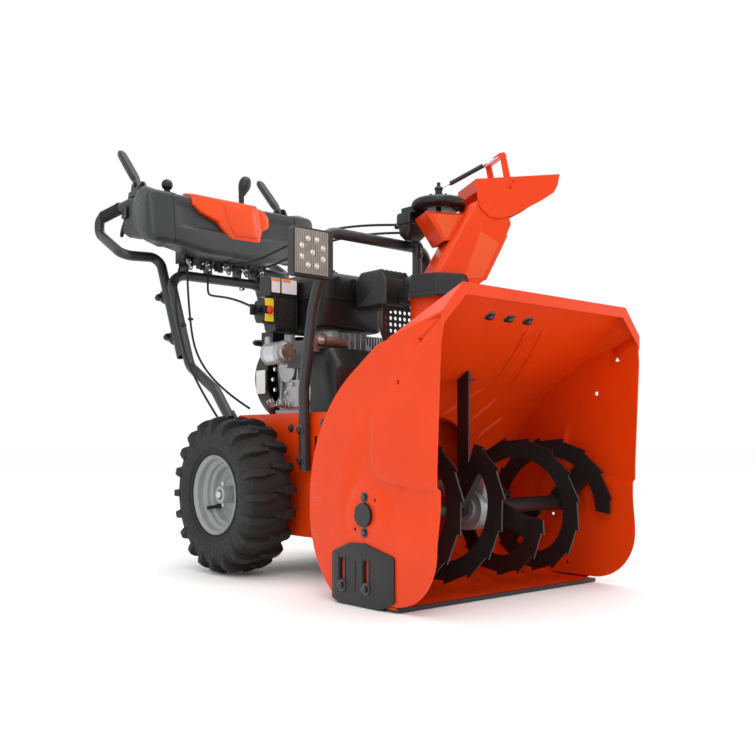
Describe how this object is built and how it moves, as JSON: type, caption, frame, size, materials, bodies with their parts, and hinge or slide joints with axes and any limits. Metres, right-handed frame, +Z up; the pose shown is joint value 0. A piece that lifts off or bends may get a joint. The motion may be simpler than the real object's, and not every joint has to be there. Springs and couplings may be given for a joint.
{
  "type": "snowblower",
  "caption": "Walk-behind snowblower with serrated auger, impeller, turning chute with tilting hood, lugged wheels, engine and raised control console.",
  "frame": {"origin": "middle of the overall width and length, on the ground under the skid shoes and tyres", "axes": "+Z up, -Y forwards to the intake, +Y back to the operator, +X to the operator's left; the machine's own middle plane is at X -18.9 mm because the chute is stored turned aside"},
  "size_m": [0.6816, 1.441, 1.1666],
  "materials": {
    "orange_paint": "gloss",
    "black_paint": "satin",
    "grey_paint": "satin",
    "black_plastic": "matte",
    "console_plastic": "matte",
    "cover_plastic": "gloss",
    "knob_plastic": "gloss",
    "tyre_rubber": "matte",
    "belt_rubber": "matte",
    "silver_rim": "satin",
    "gearbox_metal": "satin",
    "engine_metal": "cast",
    "pulley_metal": "machined",
    "shaft_steel": "ground",
    "muffler_steel": "heat resistant",
    "zinc_bolts": "black zinc",
    "bronze": "satin",
    "clear_lens": "ribbed",
    "light_casting": "black powder",
    "spring_steel": "oiled"
  },
  "bodies": {
    "chassis": {"auger_housing_shell": "orange_paint", "housing_side_right": "orange_paint", "housing_side_left": "orange_paint", "impeller_drum": "orange_paint", "scraper_bar": "black_paint", "gearbox_case": "gearbox_metal", "gearbox_brace": "black_paint", "auger_bearings": "black_paint", "frame_box": "orange_paint", "frame_bottom_cover": "black_paint", "engine_block": "engine_metal", "drive_belts": "belt_rubber", "belt_cover": "black_plastic", "fuel_tank": "black_plastic", "engine_hood": "black_plastic", "starter_motor": "engine_metal", "engine_shroud": "black_plastic", "muffler": "muffler_steel", "muffler_guard": "muffler_steel", "chute_head": "orange_paint", "light_bar": "grey_paint", "lower_handle": "grey_paint", "handle_left": "grey_paint", "handle_right": "grey_paint", "handle_knobs": "knob_plastic", "console_body": "console_plastic", "console_cover": "cover_plastic", "control_bracket": "black_paint", "control_cables": "black_plastic", "fasteners": "zinc_bolts"},
    "auger": {"auger_shaft": "shaft_steel", "worm_wheel": "bronze", "auger_flight_left": "black_paint", "auger_flight_right": "black_paint"},
    "impeller_rotor": {"impeller_shaft": "shaft_steel", "impeller": "black_paint"},
    "crank": {"engine_pulley": "pulley_metal"},
    "drive_disc": {"drive_disc": "pulley_metal"},
    "axle_gear": {"axle_gear": "shaft_steel"},
    "friction": {"friction_shaft": "shaft_steel"},
    "wheel_right": {"tyre_right": "tyre_rubber", "rim_right": "silver_rim"},
    "wheel_left": {"tyre_left": "tyre_rubber", "rim_left": "silver_rim"},
    "skid_right": {"skid_shoe_right": "black_plastic"},
    "skid_left": {"skid_shoe_left": "black_plastic"},
    "chute": {"chute": "orange_paint", "chute_guard": "black_plastic", "deflector_spring": "spring_steel"},
    "deflector": {"deflector": "orange_paint"},
    "paddle_right": {"paddle_right": "console_plastic"},
    "paddle_left": {"paddle_left": "console_plastic"},
    "trigger_right": {"trigger_right": "black_plastic"},
    "trigger_left": {"trigger_left": "black_plastic"},
    "speed_lever": {"speed_lever": "knob_plastic"},
    "chute_joystick": {"chute_joystick": "knob_plastic"},
    "light": {"light_head": "light_casting", "light_lens": "clear_lens"},
    "key": {"ignition_key": "knob_plastic"},
    "recoil": {"recoil_handle": "black_plastic"}
  },
  "joints": [
    {"name": "auger_spin", "type": "hinge", "parent": "chassis", "child": "auger", "pos_m": [-0.0189, -0.514, 0.177], "axis": [1, 0, 0], "continuous": true},
    {"name": "impeller_spin", "type": "hinge", "parent": "chassis", "child": "impeller_rotor", "pos_m": [-0.0189, -0.3, 0.215], "axis": [0, 1, 0], "continuous": true},
    {"name": "crank_spin", "type": "hinge", "parent": "chassis", "child": "crank", "pos_m": [-0.0189, -0.15, 0.48], "axis": [0, 1, 0], "continuous": true},
    {"name": "drive_disc_spin", "type": "hinge", "parent": "chassis", "child": "drive_disc", "pos_m": [-0.0189, -0.07, 0.27105], "axis": [0, 1, 0], "continuous": true},
    {"name": "axle_gear_spin", "type": "hinge", "parent": "chassis", "child": "axle_gear", "pos_m": [-0.0189, 0.06, 0.19], "axis": [1, 0, 0], "continuous": true},
    {"name": "friction_shaft_spin", "type": "hinge", "parent": "chassis", "child": "friction", "pos_m": [-0.0189, 0.0305, 0.27105], "axis": [1, 0, 0], "continuous": true},
    {"name": "wheel_right_spin", "type": "hinge", "parent": "chassis", "child": "wheel_right", "pos_m": [-0.2554, 0.06, 0.19], "axis": [1, 0, 0], "continuous": true},
    {"name": "wheel_left_spin", "type": "hinge", "parent": "chassis", "child": "wheel_left", "pos_m": [0.2176, 0.06, 0.19], "axis": [1, 0, 0], "continuous": true},
    {"name": "skid_right_height", "type": "slide", "parent": "chassis", "child": "skid_right", "axis": [0, 0, 1], "range_m": [-0.03, 0]},
    {"name": "skid_left_height", "type": "slide", "parent": "chassis", "child": "skid_left", "axis": [0, 0, 1], "range_m": [-0.03, 0]},
    {"name": "chute_turn", "type": "hinge", "parent": "chassis", "child": "chute", "pos_m": [0.0631, -0.324, 0.66], "axis": [0, 0, 1], "range_deg": [-164, 36]},
    {"name": "deflector_tilt", "type": "hinge", "parent": "chute", "child": "deflector", "pos_m": [0.16916, -0.37573, 0.872], "axis": [0.4384, 0.8988, 0], "range_deg": [0, 45]},
    {"name": "paddle_right_press", "type": "hinge", "parent": "chassis", "child": "paddle_right", "pos_m": [-0.2589, 0.546, 1.038], "axis": [-1, 0, 0], "range_deg": [0, 42], "stiffness_Nm_per_rad": 1, "springref_deg": -14.32},
    {"name": "paddle_left_press", "type": "hinge", "parent": "chassis", "child": "paddle_left", "pos_m": [0.2211, 0.546, 1.038], "axis": [-1, 0, 0], "range_deg": [0, 42], "stiffness_Nm_per_rad": 1, "springref_deg": -14.32},
    {"name": "trigger_right_pull", "type": "hinge", "parent": "chassis", "child": "trigger_right", "pos_m": [-0.2729, 0.588, 0.962], "axis": [1, 0, 0], "range_deg": [0, 18], "stiffness_Nm_per_rad": 0.4, "springref_deg": -17.19},
    {"name": "trigger_left_pull", "type": "hinge", "parent": "chassis", "child": "trigger_left", "pos_m": [0.2351, 0.588, 0.962], "axis": [1, 0, 0], "range_deg": [0, 18], "stiffness_Nm_per_rad": 0.4, "springref_deg": -17.19},
    {"name": "speed_lever_swing", "type": "hinge", "parent": "chassis", "child": "speed_lever", "pos_m": [0.0311, 0.47, 0.95], "axis": [1, 0, 0], "range_deg": [-25, 25]},
    {"name": "chute_joystick_swing", "type": "hinge", "parent": "chassis", "child": "chute_joystick", "pos_m": [-0.2089, 0.476, 0.964], "axis": [0, 1, 0], "range_deg": [-8, 8], "stiffness_Nm_per_rad": 1},
    {"name": "light_tilt", "type": "hinge", "parent": "chassis", "child": "light", "pos_m": [-0.2069, -0.232, 0.727], "axis": [1, 0, 0], "range_deg": [-20, 20]},
    {"name": "key_turn", "type": "hinge", "parent": "chassis", "child": "key", "pos_m": [-0.2249, -0.004, 0.632], "axis": [1, 0, 0], "range_deg": [0, 60]},
    {"name": "recoil_pull", "type": "slide", "parent": "chassis", "child": "recoil", "axis": [0, 1, 0], "range_m": [0, 0.25], "stiffness_N_per_m": 60, "springref_m": -0.2}
  ],
  "couplings": [
    {"joint": "impeller_spin", "follows": "auger_spin", "ratio": 10},
    {"joint": "friction_shaft_spin", "follows": "axle_gear_spin", "ratio": -3.0588}
  ]
}
